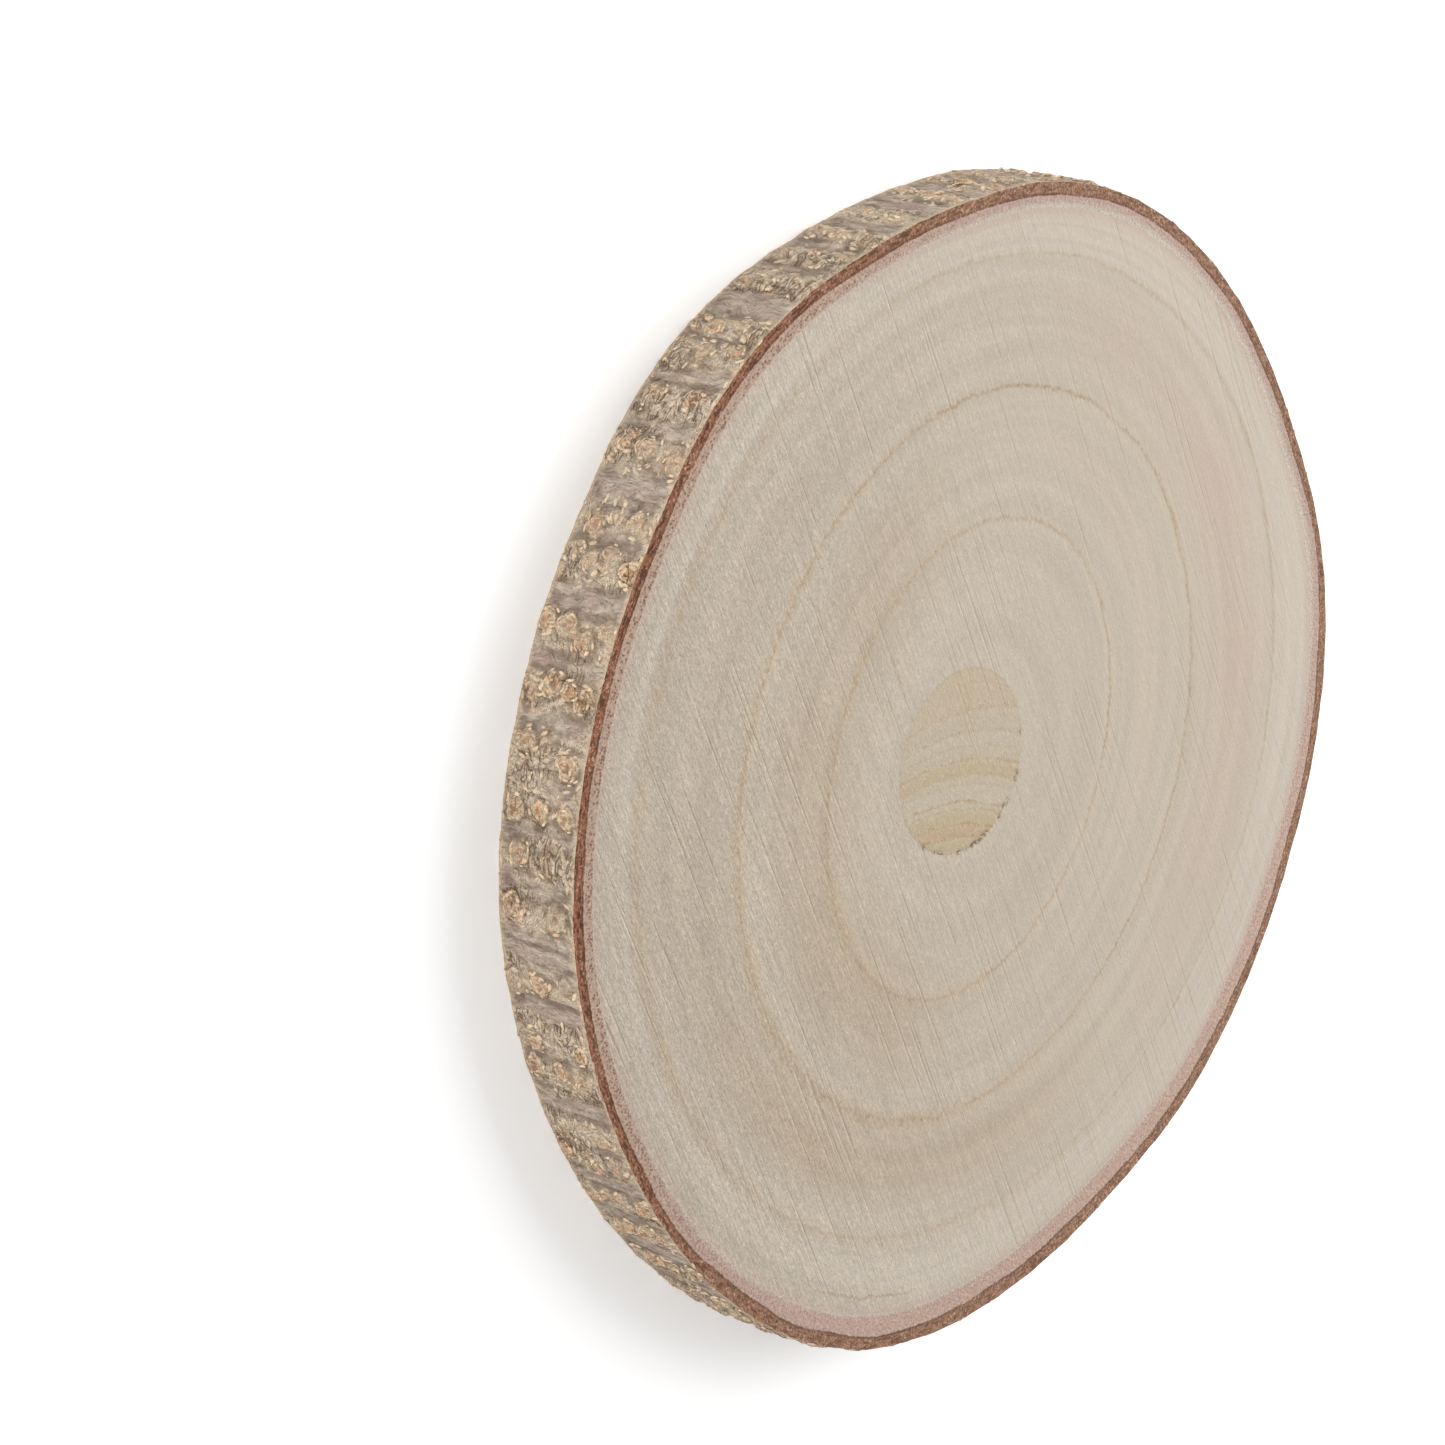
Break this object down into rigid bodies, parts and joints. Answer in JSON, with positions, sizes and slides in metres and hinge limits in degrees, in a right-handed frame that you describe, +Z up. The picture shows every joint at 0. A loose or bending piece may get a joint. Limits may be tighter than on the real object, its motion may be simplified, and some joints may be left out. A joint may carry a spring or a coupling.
{
  "type": "wood slice",
  "caption": "Round slice of a young tree trunk with its bark on, flat on both cut faces, with a round wooden plug filling the bored-out pith.",
  "frame": {"origin": "middle of the slice's outline on its lower cut face, the face that it rests on", "axes": "+Z up along the trunk's growth axis, through the slice's thickness; +X towards the outline's fullest swell, with the growth rings' centre a little towards -Y"},
  "size_m": [0.159, 0.157, 0.0127],
  "materials": {
    "bark": "rough grey-brown bark with pale warts",
    "wood": "bare sawn end grain",
    "plug": "bare sawn wood, yellower than the slice"
  },
  "bodies": {
    "root": {"bark": "bark", "wood": "wood", "plug": "plug"}
  },
  "joints": []
}
